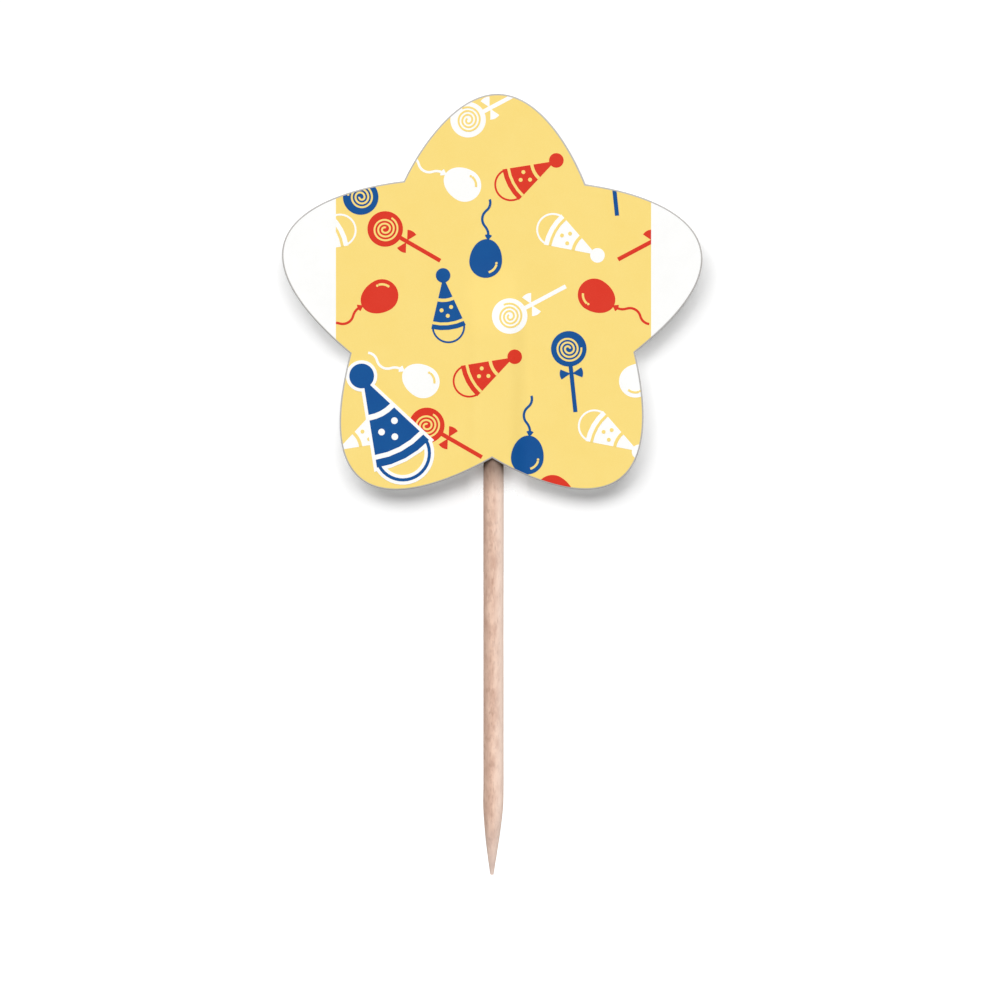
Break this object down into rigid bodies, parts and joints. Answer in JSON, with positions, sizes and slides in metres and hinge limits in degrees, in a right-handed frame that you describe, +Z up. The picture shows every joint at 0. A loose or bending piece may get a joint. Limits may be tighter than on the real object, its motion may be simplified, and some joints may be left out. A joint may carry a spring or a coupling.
{
  "type": "cupcake pick",
  "caption": "Star-shaped cupcake pick: flat card star with rounded lobes, closed round the upper part of a pointed wooden toothpick.",
  "frame": {"origin": "lower tip of the toothpick, which goes into the cake first", "axes": "+Z runs up the toothpick's axis towards the star, the printed star faces -Y, +X is to the viewer's right"},
  "size_m": [0.0449, 0.003, 0.0836],
  "materials": {
    "birch": "bare, lightly sanded, fine lengthwise grain",
    "printed_card": "matt printed card, warm yellow ground",
    "white_card": "matt uncoated white card",
    "adhesive": "milky dried adhesive coat"
  },
  "bodies": {
    "root": {"toothpick": "birch", "front_star": "printed_card", "front_adhesive": "adhesive", "back_adhesive": "adhesive", "back_star": "white_card"}
  },
  "joints": []
}
